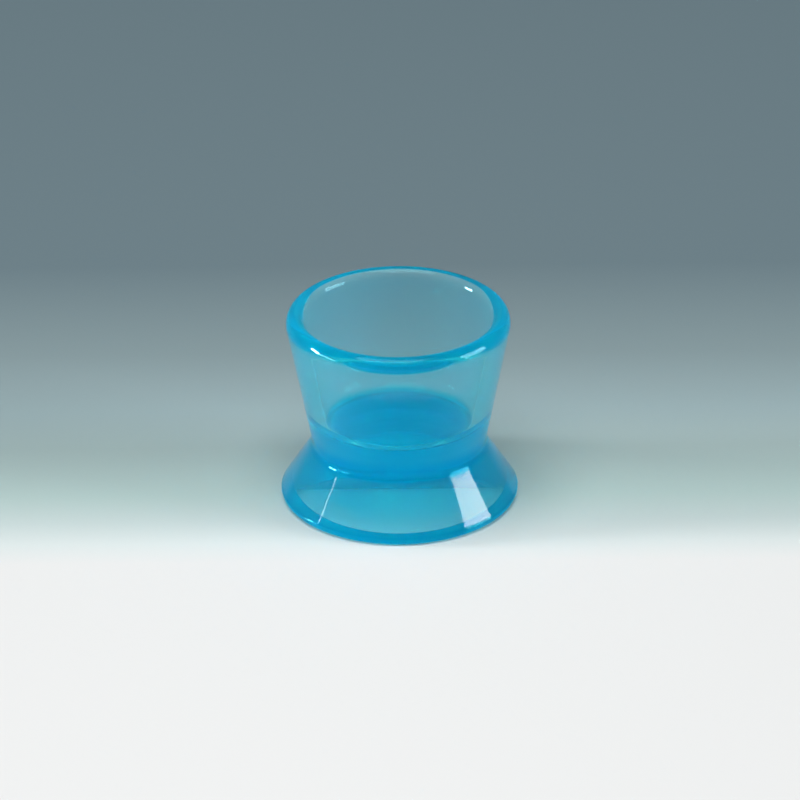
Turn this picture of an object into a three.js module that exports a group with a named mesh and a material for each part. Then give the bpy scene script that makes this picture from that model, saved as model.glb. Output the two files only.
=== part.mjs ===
// Flexible mixing bowl: one moulding of translucent blue silicone, round about the Z axis.
// A flared bowl with a thick rounded rim stands on a solid web and a flared foot with a domed hollow.
// Level planes divide the moulding into its sections: lip, skirt, crown, floor, wall and rim.
// Millimetres, +Z up, with the origin on the axis at the level that the foot stands on.

import * as THREE from "three";

// Bowl
const HEIGHT = 40.4; // from the bench to the top of the rim
const RIM_RADIUS = 22.5; // outside of the rim at its widest
const RIM_WIDTH = 3.75; // width of the rounded rim
const RIM_ROUNDING = 2.5; // height of the rim's rounded top
const RIM_BAND = 3.6; // height of the rim section
const WALL_AT_FLOOR = 3.75; // wall, measured level, where it meets the floor
const FLOOR_FILLET = 3.5; // radius between floor and wall

// Solid web and waist between bowl and foot
const WEB = 8.8; // from the top of the hollow to the floor of the bowl
const WAIST_RADIUS = 17.5; // where the lines of skirt and wall would cross
const WAIST_HEIGHT = 11.7; // level of that crossing
const WAIST_FILLET = 2.3; // radius that rounds the waist

// Foot and the domed hollow under it
const FOOT_RADIUS = 24; // outside of the foot at its widest
const FOOT_EDGE = 1.5; // height of the foot's upright edge
const FOOT_WIDTH = 5.2; // from the foot's widest to the edge of the hollow
const FOOT_BAND = 2; // height of the lip section
const BASE_ROUNDING = 1.2; // radius where the foot meets the bench
const EDGE_ROUNDING = 0.5; // radius on the foot's other edges
const HOLLOW_HEIGHT = 8.2; // from the bench to the top of the hollow
const SKIRT_SHARE = 0.85; // share of the hollow's height at which the skirt ends

// Facets
const TURN_STEPS = 64; // flats in one turn about the axis
const ARC_STEP = THREE.MathUtils.degToRad(15); // longest step along a rounding
const DOME_STEPS = 14; // steps from the edge of the hollow to its top

// Surface of the silicone, and its colour where it is thick and where it is thin
const ROUGHNESS = 0.2;
const COLOURS = {
  rim: 0x049cc6,
  wall: 0x4ca8c0,
  floor: 0x0096bb,
  crown: 0x028cbc,
  skirt: 0x3aa6bf,
  lip: 0x0590ba,
};

// Place in the half section: distance from the axis and height.
function point(radius, height) {
  return new THREE.Vector2(radius, height);
}

// Point at a given height on the straight line through two points.
function onLine(start, end, height) {
  return start.clone().lerp(end, (height - start.y) / (end.y - start.y));
}

// Arc about a centre that carries one spoke round to another.
function arc(centre, firstSpoke, lastSpoke) {
  const sweep = Math.atan2(firstSpoke.cross(lastSpoke), firstSpoke.dot(lastSpoke));
  const steps = Math.ceil(Math.abs(sweep) / ARC_STEP);
  return Array.from({ length: steps + 1 }, (_, step) => {
    const turn = (sweep * step) / steps;
    return firstSpoke.clone().rotateAround(point(0, 0), turn).add(centre);
  });
}

// Arc of a given radius that rounds the corner between two straight lines.
function fillet(before, corner, after, radius) {
  const back = before.clone().sub(corner).normalize();
  const onward = after.clone().sub(corner).normalize();
  const halfAngle = back.angleTo(onward) / 2;
  const reach = radius / Math.tan(halfAngle);
  const toCentre = back.clone().add(onward).setLength(radius / Math.sin(halfAngle));
  const firstSpoke = back.multiplyScalar(reach).sub(toCentre);
  const lastSpoke = onward.multiplyScalar(reach).sub(toCentre);
  return arc(corner.clone().add(toCentre), firstSpoke, lastSpoke);
}

// Half of the rim's oval top, from where a straight wall that rises from a corner touches it
// up to its summit. The side is 1 for the outer half and -1 for the inner half.
function rimHalf(corner, side) {
  const reach = point((side * RIM_WIDTH) / 2, RIM_ROUNDING);
  const centre = point(RIM_RADIUS - RIM_WIDTH / 2, HEIGHT - RIM_ROUNDING);
  const { x: across, y: up } = corner.clone().sub(centre).divide(reach);
  const touch = Math.atan2(up, across) + Math.acos(1 / Math.hypot(across, up));
  const unitArc = arc(point(0, 0), point(Math.cos(touch), Math.sin(touch)), point(0, 1));
  return unitArc.map((spoke) => spoke.multiply(reach).add(centre));
}

// Stretch of a rising curve between two levels.
function between(curve, low, high) {
  const stretch = [];
  curve.forEach((here, index) => {
    const last = index > 0 ? curve[index - 1] : here;
    const crossed = [low, high].filter((level) => last.y < level && level < here.y);
    stretch.push(...crossed.map((level) => onLine(last, here, level)));
    if (low <= here.y && here.y <= high) {
      stretch.push(here);
    }
  });
  return stretch;
}

// Outside of the moulding, from the bench up to the summit of the rim.
const footCorner = point(FOOT_RADIUS, 0);
const footShoulder = point(FOOT_RADIUS, FOOT_EDGE);
const waist = point(WAIST_RADIUS, WAIST_HEIGHT);
const outerRim = rimHalf(waist, 1);
const outside = [
  ...fillet(point(0, 0), footCorner, footShoulder, BASE_ROUNDING),
  ...fillet(footCorner, footShoulder, waist, EDGE_ROUNDING),
  ...fillet(footShoulder, waist, outerRim[0], WAIST_FILLET),
  ...outerRim,
];

// Domed hollow under the foot, a parabola from its edge on the bench up to its top on the axis.
const hollowCorner = point(FOOT_RADIUS - FOOT_WIDTH, 0);
const dome = Array.from({ length: DOME_STEPS }, (_, step) => {
  const share = 1 - (step + 1) / DOME_STEPS;
  return point(share * hollowCorner.x, (1 - share * share) * HOLLOW_HEIGHT);
});
const hollow = [...fillet(footCorner, hollowCorner, dome[0], EDGE_ROUNDING), ...dome];

// Inside of the bowl, from the middle of its floor up to just before the summit of the rim.
const floorMiddle = point(0, HOLLOW_HEIGHT + WEB);
const floorCorner = onLine(waist, outerRim[0], floorMiddle.y).sub(point(WALL_AT_FLOOR, 0));
const innerRim = rimHalf(floorCorner, -1);
const floorFillet = fillet(floorMiddle, floorCorner, innerRim[0], FLOOR_FILLET);
const inside = [floorMiddle, ...floorFillet, ...innerRim.slice(0, -1)];

// Levels of the planes between the sections.
const lipTop = FOOT_BAND;
const skirtTop = SKIRT_SHARE * HOLLOW_HEIGHT;
const webMiddle = point(0, HOLLOW_HEIGHT + WEB / 2);
const floorTop = floorFillet.at(-1).y;
const rimBase = HEIGHT - RIM_BAND;

// Closed outline of a ring between two levels, up the outer curve and down the inner one.
function ring(inner, low, high) {
  const outline = [...between(outside, low, high), ...between(inner, low, high).reverse()];
  return [...outline, outline[0]];
}

// Half outlines of the two solid sections, which start and end on the axis.
const crownOutline = [
  ...between(hollow, skirtTop, HOLLOW_HEIGHT).reverse(),
  ...between(outside, skirtTop, webMiddle.y),
  webMiddle,
];
const floorOutline = [
  webMiddle,
  ...between(outside, webMiddle.y, floorTop),
  ...between(inside, floorMiddle.y, floorTop).reverse(),
];

// One section of the moulding, turned about the Z axis.
function section(name, outline, colour) {
  const geometry = new THREE.LatheGeometry(outline, TURN_STEPS);
  geometry.rotateX(Math.PI / 2);
  const material = new THREE.MeshStandardMaterial({ color: colour, roughness: ROUGHNESS, metalness: 0 });
  const mesh = new THREE.Mesh(geometry, material);
  mesh.name = name;
  return mesh;
}

const bowl = new THREE.Group();
bowl.add(
  section("foot_lip", ring(hollow, 0, lipTop), COLOURS.lip),
  section("foot_skirt", ring(hollow, lipTop, skirtTop), COLOURS.skirt),
  section("foot_crown", crownOutline, COLOURS.crown),
  section("bowl_floor", floorOutline, COLOURS.floor),
  section("bowl_wall", ring(inside, floorTop, rimBase), COLOURS.wall),
  section("rim_bead", ring(inside, rimBase, HEIGHT), COLOURS.rim),
);

export default bowl;
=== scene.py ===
"""Looks of the flexible mixing bowl: one moulding of translucent blue silicone on a pale bench."""

import logging
import math
from dataclasses import dataclass
from enum import Enum
from typing import Any, List, Mapping, Optional, Sequence, Tuple, Union

import bpy
import numpy as np
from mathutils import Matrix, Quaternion, Vector


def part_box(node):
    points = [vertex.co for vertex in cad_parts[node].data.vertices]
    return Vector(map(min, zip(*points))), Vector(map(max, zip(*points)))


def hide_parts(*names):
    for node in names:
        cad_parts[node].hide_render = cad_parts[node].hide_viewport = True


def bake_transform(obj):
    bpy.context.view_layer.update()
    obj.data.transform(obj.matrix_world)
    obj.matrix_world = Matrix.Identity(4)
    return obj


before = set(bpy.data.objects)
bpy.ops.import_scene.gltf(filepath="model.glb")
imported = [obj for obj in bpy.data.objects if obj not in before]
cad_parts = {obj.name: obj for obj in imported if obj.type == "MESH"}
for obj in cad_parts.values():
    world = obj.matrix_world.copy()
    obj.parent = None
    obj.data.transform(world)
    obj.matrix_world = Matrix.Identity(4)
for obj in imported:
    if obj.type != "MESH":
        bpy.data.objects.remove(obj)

MM = 0.001
IMAGE_SIDE = 800

Colour = Tuple[float, float, float]
Table = Tuple[Tuple[float, float], ...]
LOG = logging.getLogger("mixing_bowl")


class Half(Enum):
    """The two halves of the rounded rim, with the way each one faces."""

    OUTER = 1
    INNER = -1


def spokes(start: float, end: float, step: float) -> np.ndarray:
    """Unit directions from one angle to another, no further apart than a step.

    Args:
        start: First angle, in radians.
        end: Last angle, in radians.
        step: Largest angle between neighbours, in radians.

    Returns:
        Array of cosines and sines, one row for each direction.
    """
    count = max(2, math.ceil(abs(end - start) / step) + 1)
    angle = np.linspace(start, end, count)
    return np.stack([np.cos(angle), np.sin(angle)], axis=1)


def fillet(
    before: np.ndarray, corner: np.ndarray, after: np.ndarray, radius: float, step: float
) -> np.ndarray:
    """Arc that rounds a corner: the circle of that radius which touches both straight lines.

    Args:
        before: Point on the line that comes to the corner.
        corner: The sharp corner.
        after: Point on the line that leaves the corner.
        radius: Radius of the arc.
        step: Largest angle between neighbouring points, in radians.

    Returns:
        Points of the arc, from the first line to the second.
    """
    back = (before - corner) / np.linalg.norm(before - corner)
    onward = (after - corner) / np.linalg.norm(after - corner)
    half_angle = math.acos(float(np.clip(back @ onward, -1, 1))) / 2
    middle = (back + onward) / np.linalg.norm(back + onward)
    centre = corner + middle * radius / math.sin(half_angle)
    first = corner + back * radius / math.tan(half_angle) - centre
    sweep = math.pi - 2 * half_angle
    turn = np.sign(back[1] * onward[0] - back[0] * onward[1])
    start = math.atan2(first[1], first[0])
    return centre + radius * spokes(start, start + turn * sweep, step)


def divided(points: np.ndarray, step: float) -> np.ndarray:
    """Same run of points, with each straight stretch cut into equal steps no longer than asked.

    Args:
        points: Points in order, one row each.
        step: Longest step.

    Returns:
        The points with the cuts between them.
    """
    leg = np.diff(points, axis=0)
    count = np.maximum(1, np.ceil(np.linalg.norm(leg, axis=1) / step)).astype(int)
    stretch = np.repeat(np.arange(len(leg)), count)
    share = (np.arange(count.sum()) - np.repeat(np.cumsum(count) - count, count)) / count[stretch]
    return np.vstack([points[stretch] + share[:, None] * leg[stretch], points[-1:]])


@dataclass(frozen=True)
class HalfSection:
    """Half section of the moulding, in millimetres: distance from the axis and height."""

    height: float
    rim_radius: float
    foot_radius: float
    rim_width: float = 3.75
    rim_rounding: float = 2.5
    wall_at_floor: float = 3.75
    floor_fillet: float = 3.5
    web: float = 8.8
    waist_radius: float = 17.5
    waist_height: float = 11.7
    waist_fillet: float = 2.3
    foot_edge: float = 1.5
    foot_width: float = 5.2
    base_rounding: float = 1.2
    edge_rounding: float = 0.5
    hollow_height: float = 8.2
    dome_steps: int = 36
    arc_step: float = math.radians(6)
    line_step: float = 0.55

    @classmethod
    def from_frame(cls) -> "HalfSection":
        """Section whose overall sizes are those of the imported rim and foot.

        Returns:
            The half section, with its other sizes as they stand in this class.
        """
        rim_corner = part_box("rim_bead")[1] / MM
        foot_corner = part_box("foot_lip")[1] / MM
        return cls(height=rim_corner.z, rim_radius=rim_corner.x, foot_radius=foot_corner.x)

    @property
    def floor_height(self) -> float:
        """Height of the bowl's floor."""
        return self.hollow_height + self.web

    @property
    def foot_corner(self) -> np.ndarray:
        """Where the foot's outside would meet the bench."""
        return np.array([self.foot_radius, 0.0])

    @property
    def foot_shoulder(self) -> np.ndarray:
        """Where the foot's upright edge would meet the skirt."""
        return np.array([self.foot_radius, self.foot_edge])

    @property
    def hollow_corner(self) -> np.ndarray:
        """Where the hollow would meet the bench."""
        return np.array([self.foot_radius - self.foot_width, 0.0])

    @property
    def waist(self) -> np.ndarray:
        """Where the lines of skirt and wall would cross."""
        return np.array([self.waist_radius, self.waist_height])

    def round_off(
        self, before: np.ndarray, corner: np.ndarray, after: np.ndarray, radius: float
    ) -> np.ndarray:
        """Fillet at a corner of this section, with the section's own arc step."""
        return fillet(before, corner, after, radius, self.arc_step)

    def rim_half(self, corner: np.ndarray, half: Half) -> np.ndarray:
        """Half of the oval rim, from where a straight wall touches it up to its summit.

        In a frame where the oval is a unit circle, the touching radius is turned from the
        direction of the wall's lower corner by the arc cosine of one over that corner's distance.

        Args:
            corner: Point from which the wall rises.
            half: Outer or inner half.

        Returns:
            Points from the touching place to the summit.
        """
        reach = np.array([half.value * self.rim_width / 2, self.rim_rounding])
        centre = np.array([self.rim_radius - self.rim_width / 2, self.height - self.rim_rounding])
        across, up = (corner - centre) / reach
        touch = math.atan2(up, across) + math.acos(1 / math.hypot(across, up))
        return centre + reach * spokes(touch, math.pi / 2, self.arc_step)

    def base_turn(self) -> np.ndarray:
        """Rounding where the foot's flat ring turns up into its outside."""
        return self.round_off(
            self.hollow_corner, self.foot_corner, self.foot_shoulder, self.base_rounding
        )

    def hollow(self) -> np.ndarray:
        """Underside, from the top of the hollow on the axis out to the end of the foot's flat ring.

        The dome is a parabola: its height falls with the square of the distance from the axis.

        Returns:
            Points in order.
        """
        share = np.linspace(0, 1, self.dome_steps + 1)[:-1]
        across, up = share * self.hollow_corner[0], (1 - share**2) * self.hollow_height
        dome = np.stack([across, up], axis=1)
        edge = self.round_off(dome[-1], self.hollow_corner, self.foot_corner, self.edge_rounding)
        return divided(np.vstack([dome, edge, self.base_turn()[:1]]), self.line_step)

    def outside(self) -> np.ndarray:
        """Outside, from the end of the foot's flat ring to the summit of the rim: lines and fillets.

        Returns:
            Points in order.
        """
        rim = self.rim_half(self.waist, Half.OUTER)
        shoulder = self.round_off(
            self.foot_corner, self.foot_shoulder, self.waist, self.edge_rounding
        )
        turn = self.round_off(self.foot_shoulder, self.waist, rim[0], self.waist_fillet)
        return divided(np.vstack([self.base_turn(), shoulder, turn, rim]), self.line_step)

    def inside(self) -> np.ndarray:
        """Inside of the bowl, from the summit of the rim down to the middle of the floor.

        Returns:
            Points in order.
        """
        wall_top = self.rim_half(self.waist, Half.OUTER)[0]
        share = (self.floor_height - self.waist[1]) / (wall_top[1] - self.waist[1])
        corner = self.waist + share * (wall_top - self.waist) - [self.wall_at_floor, 0.0]
        middle = np.array([0.0, self.floor_height])
        rim = self.rim_half(corner, Half.INNER)[::-1]
        turn = self.round_off(rim[-1], corner, middle, self.floor_fillet)
        return divided(np.vstack([rim, turn, middle]), self.line_step)


@dataclass(frozen=True)
class Zone:
    """Share of one quality of the skin, by height in millimetres, outside and inside the bowl."""

    outside: Table
    inside: Table = ((0.0, 0.0),)


@dataclass(frozen=True)
class SiliconeFinish:
    """Glossy translucent blue silicone, pale where it is thin and saturated where it is deep.

    Absorption and scattering are in shares per millimetre. The skin is tinted on the rim and the
    floor, where the silicone behind it is deep. A tinted film lies over the foot's edge, the waist
    and the floor. What the skin mirrors is blue, or white where it is polished.
    """

    thin_tint: Colour = (1.0, 1.0, 1.0)
    deep_tint: Colour = (0.02, 0.95, 1.0)
    depth: Zone = Zone(
        outside=((38.0, 0.0), (38.6, 1.0)),
        inside=((17.1, 1.0), (17.6, 0.0)),
    )
    film: Zone = Zone(
        outside=((1.5, 0.9), (1.9, 0.0), (10.6, 0.0), (11.4, 1.0), (13.4, 1.0), (15.6, 0.0)),
        inside=((17.1, 1.0), (17.6, 0.0)),
    )
    polish: Zone = Zone(
        outside=(
            (1.6, 0.0), (2.0, 1.0), (10.0, 1.0), (11.0, 0.0),
            (30.5, 0.0), (32.5, 1.0), (36.4, 1.0), (37.6, 0.0), (38.6, 0.3),
        ),
        inside=((38.6, 0.0), (39.4, 0.3)),
    )
    absorption: Colour = (0.140, 0.021, 0.005)
    scatter: Colour = (0.001, 0.055, 0.083)
    forward: float = 0.2
    transmission: float = 1.0
    refraction: float = 1.41
    blue_reflection: Colour = (0.0, 0.6, 0.7)
    white_reflection: Colour = (1.0, 1.0, 1.0)
    gloss: float = 0.04
    satin: float = 0.02
    haze_per_metre: float = 180.0
    haze_detail: float = 3.0
    film_tint: Colour = (0.03, 0.95, 1.0)
    film_refraction: float = 1.1


@dataclass(frozen=True)
class BenchFinish:
    """Pale bench top with painted shade that greys it towards the back, and its own white under the
    foot.
    """

    # Painted shade: these stops darken the white bench from front to back, as a painted falloff of
    # light.
    stops: Tuple[Tuple[float, Colour], ...] = (
        (-30.0, (0.78, 0.75, 0.73)),
        (-22.0, (0.71, 0.74, 0.72)),
        (-13.0, (0.58, 0.65, 0.63)),
        (-2.0, (0.47, 0.58, 0.55)),
        (19.0, (0.35, 0.43, 0.42)),
        (35.0, (0.31, 0.39, 0.40)),
        (62.0, (0.23, 0.29, 0.30)),
        (106.0, (0.15, 0.20, 0.22)),
    )
    # The bench's own white, without painted shade, kept under the foot.
    clean: Colour = (0.95, 0.93, 0.92)
    own_white_edge: Tuple[float, float] = (18.0, 19.5)
    roughness: float = 0.6
    specular: float = 0.0


@dataclass(frozen=True)
class Signal:
    """A shader's output socket that takes part in arithmetic."""

    shader: "Shader"
    socket: bpy.types.NodeSocket

    def __add__(self, other: "Number") -> "Signal":
        """Sum of two values."""
        return self.shader.math("ADD", self, other)

    __radd__ = __add__

    def __sub__(self, other: "Number") -> "Signal":
        """Difference of two values."""
        return self.shader.math("SUBTRACT", self, other)

    def __rsub__(self, other: "Number") -> "Signal":
        """Difference of two values, the other way round."""
        return self.shader.math("SUBTRACT", other, self)

    def __mul__(self, other: "Number") -> "Signal":
        """Product of two values."""
        return self.shader.math("MULTIPLY", self, other)

    __rmul__ = __mul__

    def __truediv__(self, other: "Number") -> "Signal":
        """Quotient of two values."""
        return self.shader.math("DIVIDE", self, other)

    def __rtruediv__(self, other: "Number") -> "Signal":
        """Quotient of two values, the other way round."""
        return self.shader.math("DIVIDE", other, self)


Number = Union[Signal, float]


class Shader:
    """Node tree of one material, with the places of a Mix node's colour sockets."""

    FIRST_COLOUR = 6
    SECOND_COLOUR = 7
    MIXED_COLOUR = 2

    def __init__(self, name: str) -> None:
        """Makes an empty material of that name."""
        self.material = bpy.data.materials.new(name)
        self.material.use_nodes = True
        self.tree = self.material.node_tree
        self.tree.nodes.clear()
        self.output = self.node("ShaderNodeOutputMaterial")

    def node(
        self,
        kind: str,
        settings: Optional[Mapping[str, Any]] = None,
        inputs: Optional[Mapping[Any, Any]] = None,
    ) -> bpy.types.Node:
        """Adds a node, sets it up and then feeds its sockets.

        Args:
            kind: Blender's name of the node type.
            settings: The node's own properties, or "stops" for a colour ramp's places and colours.
            inputs: A value, a signal or a socket for each input socket, by name or number.

        Returns:
            The new node.
        """
        made = self.tree.nodes.new(kind)
        for key, value in (settings or {}).items():
            if key == "stops":
                self.set_stops(made.color_ramp, value)
            else:
                setattr(made, key, value)
        for key, value in (inputs or {}).items():
            self.feed(made.inputs[key], value)
        return made

    def feed(self, socket: bpy.types.NodeSocket, value: Any) -> None:
        """Links a signal or a socket to an input socket, or sets its value.

        Args:
            socket: The input socket.
            value: A signal, an output socket, a number, or a colour or vector of three numbers.
        """
        source = value.socket if isinstance(value, Signal) else value
        if isinstance(source, bpy.types.NodeSocket):
            self.tree.links.new(source, socket)
        elif socket.type == "RGBA":
            socket.default_value = (*value, 1.0)
        else:
            socket.default_value = value

    @staticmethod
    def set_stops(ramp: bpy.types.ColorRamp, stops: Sequence[Tuple[float, Colour]]) -> None:
        """Gives a colour ramp its stops.

        Args:
            ramp: A new ramp.
            stops: Places from nothing to one, in rising order, with their colours.
        """
        while len(ramp.elements) < len(stops):
            ramp.elements.new(1.0)
        for element, (place, colour) in zip(ramp.elements, stops):
            element.position = place
            element.color = (*colour, 1.0)

    def signal(
        self,
        kind: str,
        output: Union[str, int],
        settings: Optional[Mapping[str, Any]] = None,
        inputs: Optional[Mapping[Any, Any]] = None,
    ) -> Signal:
        """Adds a node and gives one of its outputs as a signal."""
        return Signal(self, self.node(kind, settings, inputs).outputs[output])

    def math(self, operation: str, first: Number, second: Number) -> Signal:
        """Adds a Math node for two values."""
        return self.signal("ShaderNodeMath", 0, {"operation": operation}, {0: first, 1: second})

    def ease(self, value: Number, start: float, end: float) -> Signal:
        """Smooth step from nothing to one while the input goes from start to end."""
        return self.signal(
            "ShaderNodeMapRange",
            "Result",
            {"interpolation_type": "SMOOTHSTEP"},
            {"Value": value, "From Min": start, "From Max": end},
        )

    def mix_colour(self, share: Number, first: Any, second: Any) -> Signal:
        """Mix of two colours by a share."""
        return self.signal(
            "ShaderNodeMix",
            self.MIXED_COLOUR,
            {"data_type": "RGBA"},
            {"Factor": share, self.FIRST_COLOUR: first, self.SECOND_COLOUR: second},
        )

    def attribute(self, name: str) -> Signal:
        """Value of one of the mesh's own attributes."""
        return self.signal("ShaderNodeAttribute", "Fac", {"attribute_name": name})

    def place(self) -> Signal:
        """Place on the object, in metres."""
        return self.signal("ShaderNodeTexCoord", "Object")

    def noise(self, features_per_metre: float, detail: float) -> Signal:
        """Soft random pattern of about that many features in a metre."""
        return self.signal(
            "ShaderNodeTexNoise",
            0,
            None,
            {"Vector": self.place(), "Scale": features_per_metre, "Detail": detail},
        )


def by_height(run: np.ndarray, table: Table) -> np.ndarray:
    """Value at each point of a run, read off a table by height."""
    height, value = np.array(table).T
    return np.interp(run[:, 1], height, value)


@dataclass(frozen=True)
class Moulding:
    """The whole bowl as one closed turned skin, with its silicone."""

    section: HalfSection
    finish: SiliconeFinish
    columns: int = 256
    nodes: Tuple[str, ...] = (
        "foot_lip", "foot_skirt", "foot_crown", "bowl_floor", "bowl_wall", "rim_bead",
    )

    def runs(self) -> Tuple[np.ndarray, np.ndarray, np.ndarray]:
        """Underside, outside and inside of the closed section, whose two ends are on the axis."""
        return self.section.hollow()[:-1], self.section.outside()[:-1], self.section.inside()

    def shares(self) -> Mapping[str, np.ndarray]:
        """Qualities of the skin along the section, read off the finish's tables by height.

        Returns:
            Each of the skin's attributes, by name, with its value at each point of the section.
        """
        hollow, outside, inside = self.runs()
        finish = self.finish
        zones = {"depth": finish.depth, "film": finish.film, "polish": finish.polish}
        return {
            name: np.concatenate([
                np.zeros(len(hollow)),
                by_height(outside, zone.outside),
                by_height(inside, zone.inside),
            ])
            for name, zone in zones.items()
        }

    def skin_points(self, outline: np.ndarray) -> np.ndarray:
        """Places of the skin, in metres: each point of the section goes round at its own height.

        Args:
            outline: The section, from the top of the hollow round to the middle of the floor.

        Returns:
            The circles' points, circle by circle, and then the section's two ends on the axis.
        """
        angle = np.linspace(0, 2 * math.pi, self.columns, endpoint=False)
        radius, height = outline[1:-1, :1], np.repeat(outline[1:-1, 1:], self.columns, axis=1)
        circles = np.stack([radius * np.cos(angle), radius * np.sin(angle), height], axis=-1)
        poles = np.array([[0, 0, outline[0, 1]], [0, 0, outline[-1, 1]]])
        return np.vstack([circles.reshape(-1, 3), poles]) * MM

    def skin_faces(self, circles: int) -> List[List[int]]:
        """Faces of the skin: four corners between neighbouring circles, and three at the axis.

        Args:
            circles: How many circles the skin has.

        Returns:
            The corners of each face, in the order that points it outwards.
        """
        here = np.arange(self.columns)
        beside = np.roll(here, -1)
        row = np.arange(circles - 1)[:, None] * self.columns
        above = row + self.columns
        quads = np.stack([row + here, row + beside, above + beside, above + here], axis=-1)
        last_row = (circles - 1) * self.columns
        pole = np.full(self.columns, circles * self.columns)
        ceiling = np.stack([pole, beside, here], axis=-1)
        floor = np.stack([pole + 1, last_row + here, last_row + beside], axis=-1)
        return quads.reshape(-1, 4).tolist() + ceiling.tolist() + floor.tolist()

    def build(self) -> bpy.types.Object:
        """Turns the section about the axis into one closed skin.

        Returns:
            The bowl's object, with the shares of its skin's qualities as attributes.
        """
        outline = np.vstack(self.runs())
        circles = len(outline) - 2
        mesh = bpy.data.meshes.new("silicone_bowl")
        mesh.from_pydata(self.skin_points(outline).tolist(), [], self.skin_faces(circles))
        mesh.shade_smooth()
        for name, share in self.shares().items():
            values = np.concatenate([np.repeat(share[1:-1], self.columns), share[[0, -1]]])
            attribute = mesh.attributes.new(name, "FLOAT", "POINT")
            attribute.data.foreach_set("value", values.astype(np.float32))
        bowl = bpy.data.objects.new("silicone_bowl", mesh)
        bpy.context.collection.objects.link(bowl)
        return bowl

    def surface(self, shader: Shader, reflection: Colour) -> Signal:
        """Clear glossy skin, tinted where the silicone is deep, with a film over parts of it.

        Args:
            shader: The silicone's node tree.
            reflection: Tint of what the skin mirrors.

        Returns:
            The skin's shader.
        """
        finish = self.finish
        tint = shader.mix_colour(shader.attribute("depth"), finish.thin_tint, finish.deep_tint)
        haze = shader.noise(finish.haze_per_metre, finish.haze_detail)
        return shader.signal("ShaderNodeBsdfPrincipled", 0, None, {
            "Base Color": tint,
            "Roughness": finish.gloss + finish.satin * haze,
            "IOR": finish.refraction,
            "Specular Tint": reflection,
            "Transmission Weight": finish.transmission,
            "Coat Weight": shader.attribute("film"),
            "Coat IOR": finish.film_refraction,
            "Coat Tint": finish.film_tint,
        })

    def dress(self, bowl: bpy.types.Object) -> None:
        """Gives the bowl its silicone: a clear glossy skin over a blue, slightly milky inside.

        Args:
            bowl: The bowl's object.
        """
        finish = self.finish
        shader = Shader("blue_silicone")
        surface = shader.signal("ShaderNodeMixShader", 0, None, {
            0: shader.attribute("polish"),
            1: self.surface(shader, finish.blue_reflection),
            2: self.surface(shader, finish.white_reflection),
        })
        volume = shader.node("ShaderNodeVolumeCoefficients", None, {
            "Absorption Coefficients": tuple(share / MM for share in finish.absorption),
            "Scatter Coefficients": tuple(share / MM for share in finish.scatter),
            "Anisotropy": finish.forward,
        })
        shader.feed(shader.output.inputs["Surface"], surface)
        shader.feed(shader.output.inputs["Volume"], volume.outputs[0])
        bowl.data.materials.append(shader.material)

    def attach(self, bowl: bpy.types.Object) -> None:
        """Sets the bowl in the frame: hides the imported parts and bakes the bowl's placement into
        its mesh.

        Args:
            bowl: The bowl's object.
        """
        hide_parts(*self.nodes)
        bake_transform(bowl)


def towards(azimuth: float, elevation: float) -> Vector:
    """Unit direction away from the bowl: the level one at an azimuth, raised by an elevation.

    Args:
        azimuth: Degrees from the front, positive to the right.
        elevation: Degrees above the bench.

    Returns:
        The direction.
    """
    turn, rise = math.radians(azimuth), math.radians(elevation)
    level = Vector((math.sin(turn), -math.cos(turn), 0.0))
    return level * math.cos(rise) + Vector((0.0, 0.0, math.sin(rise)))


@dataclass(frozen=True)
class Softbox:
    """A white rectangular soft light, placed round the bowl by its direction.

    Angles are in degrees, sizes in metres and power in watts.
    """

    azimuth: float
    elevation: float
    width: float
    height: float
    power: float
    distance: float = 4.0

    def place(self, aim: Vector) -> None:
        """Hangs the light in its direction from the aim, facing it.

        Args:
            aim: The place that the light faces.
        """
        away = towards(self.azimuth, self.elevation)
        lamp = bpy.data.lights.new("softbox", "AREA")
        lamp.shape = "RECTANGLE"
        lamp.size, lamp.size_y = self.width, self.height
        lamp.energy = self.power
        stand = bpy.data.objects.new("softbox", lamp)
        stand.location = aim + away * self.distance
        stand.rotation_euler = (-away).to_track_quat("-Z", "Y").to_euler()
        bpy.context.collection.objects.link(stand)


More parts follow.
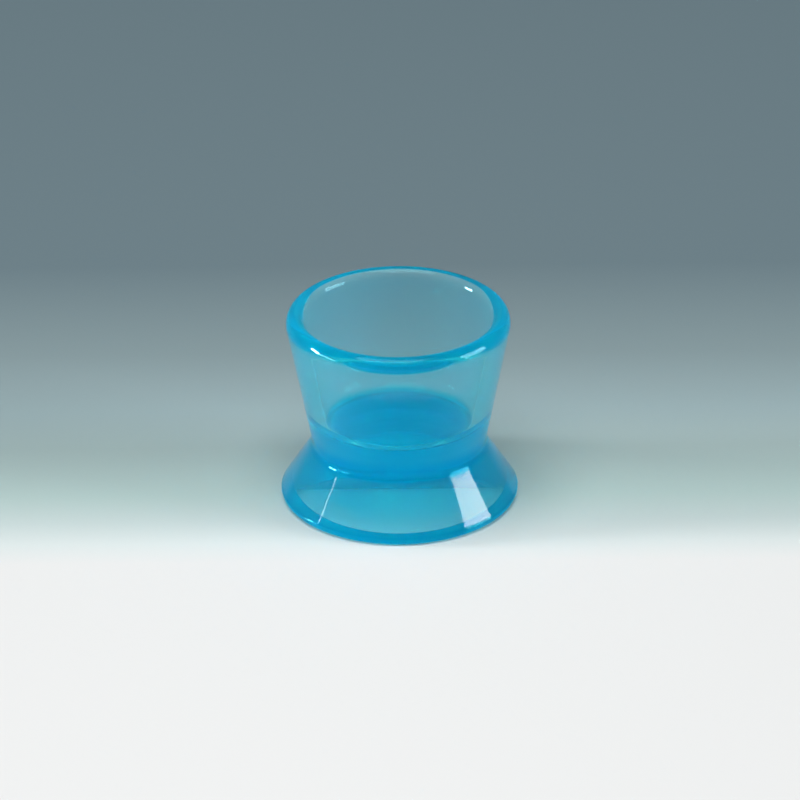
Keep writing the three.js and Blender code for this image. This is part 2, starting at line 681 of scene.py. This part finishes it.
@dataclass(frozen=True)
class Studio:
    """Bench, soft light and camera.

    Sizes are in metres and angles in degrees, but the gap between bench and foot and the camera's
    sensor are in millimetres, and the image's centre is in pixels.
    """

    bench: BenchFinish = BenchFinish()
    bench_side: float = 4.0
    bench_gap: float = 0.05
    ambient: Colour = (0.10, 0.16, 0.19)
    lights: Tuple[Softbox, ...] = (
        Softbox(azimuth=81, elevation=14.2, width=2.0, height=1.867, power=138.7),
        Softbox(azimuth=-91, elevation=7.0, width=0.76, height=0.84, power=206.0),
        Softbox(azimuth=-78, elevation=2.5, width=1.85, height=0.28, power=44.0),
        Softbox(azimuth=-84.2, elevation=21.2, width=0.08, height=0.267, power=0.853),
        Softbox(azimuth=-20, elevation=75, width=0.6, height=0.6, power=4.9, distance=0.8),
    )
    aim: Tuple[float, float, float] = (0.0, 0.0, 0.02015)
    camera_elevation: float = 27.2
    camera_distance: float = 1.0
    pixels_per_metre: float = 4960.0
    camera_roll: float = -0.48
    image_centre: Tuple[float, float] = (398.9, 401.5)
    sensor: float = 36.0
    bounces: int = 32
    transmission_bounces: int = 24
    volume_bounces: int = 16

    def build_bench(self) -> None:
        """Flat square of bench top, just under the level that the foot stands on."""
        side = self.bench_side / 2
        grid = np.array([[-1, -1, 0], [1, -1, 0], [1, 1, 0], [-1, 1, 0]], float) * side
        mesh = bpy.data.meshes.new("bench")
        mesh.from_pydata(grid.tolist(), [], [(0, 1, 2, 3)])
        mesh.materials.append(self.bench_material())
        bench = bpy.data.objects.new("bench", mesh)
        bench.location.z = -self.bench_gap * MM
        bpy.context.collection.objects.link(bench)

    def bench_material(self) -> bpy.types.Material:
        """Pale matt surface with painted shade that darkens it from front to back, and its own white
        under the foot.

        Returns:
            The bench's material.
        """
        shader = Shader("bench_top")
        depth = shader.signal("ShaderNodeSeparateXYZ", "Y", None, {0: shader.place()})
        first, last = self.bench.stops[0][0], self.bench.stops[-1][0]
        share = (depth / MM - first) / (last - first)
        stops = [((place - first) / (last - first), colour) for place, colour in self.bench.stops]
        # Painted shade: colour from the stops darkens the bench towards the back.
        painted_falloff = shader.signal("ShaderNodeValToRGB", "Color", {"stops": stops}, {"Fac": share})
        radius = shader.signal(
            "ShaderNodeVectorMath", "Value", {"operation": "LENGTH"}, {0: shader.place()}
        )
        # Share of painted shade: none under the foot, where the bench keeps its own white.
        falloff_share = shader.ease(radius / MM, *self.bench.own_white_edge)
        surface = shader.node("ShaderNodeBsdfPrincipled", None, {
            "Base Color": shader.mix_colour(falloff_share, self.bench.clean, painted_falloff),
            "Roughness": self.bench.roughness,
            "Specular IOR Level": self.bench.specular,
        })
        shader.feed(shader.output.inputs["Surface"], surface.outputs[0])
        return shader.material

    def build_world(self) -> None:
        """Even light from all round."""
        world = bpy.data.worlds.new("studio")
        world.use_nodes = True
        background = world.node_tree.nodes["Background"]
        background.inputs["Color"].default_value = (*self.ambient, 1.0)
        bpy.context.scene.world = world

    def build_camera(self) -> None:
        """Camera at the photograph's angle, with the bowl where the photograph has it."""
        away = towards(0.0, self.camera_elevation)
        lens = bpy.data.cameras.new("camera")
        lens.sensor_width = self.sensor
        lens.lens = self.sensor * self.camera_distance * self.pixels_per_metre / IMAGE_SIDE
        lens.shift_x = (IMAGE_SIDE / 2 - self.image_centre[0]) / IMAGE_SIDE
        lens.shift_y = (self.image_centre[1] - IMAGE_SIDE / 2) / IMAGE_SIDE
        camera = bpy.data.objects.new("camera", lens)
        camera.location = Vector(self.aim) + away * self.camera_distance
        camera.rotation_mode = "QUATERNION"
        roll = Quaternion((0, 0, 1), math.radians(self.camera_roll))
        camera.rotation_quaternion = (-away).to_track_quat("-Z", "Y") @ roll
        bpy.context.collection.objects.link(camera)
        bpy.context.scene.camera = camera

    def build(self) -> None:
        """Sets up the whole studio."""
        self.build_camera()
        self.build_bench()
        self.build_world()
        for light in self.lights:
            light.place(Vector(self.aim))
        scene = bpy.context.scene
        scene.view_settings.view_transform = "Standard"
        scene.cycles.max_bounces = self.bounces
        scene.cycles.transmission_bounces = self.transmission_bounces
        scene.cycles.volume_bounces = self.volume_bounces


def main() -> None:
    """Builds the studio and the bowl."""
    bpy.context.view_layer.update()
    Studio().build()
    moulding = Moulding(HalfSection.from_frame(), SiliconeFinish())
    bowl = moulding.build()
    moulding.dress(bowl)
    moulding.attach(bowl)
    LOG.info("%s: %d points, %d faces", bowl.name, len(bowl.data.vertices), len(bowl.data.polygons))


if __name__ == "__main__":
    logging.basicConfig(level=logging.INFO, format="%(name)s: %(message)s")
    main()
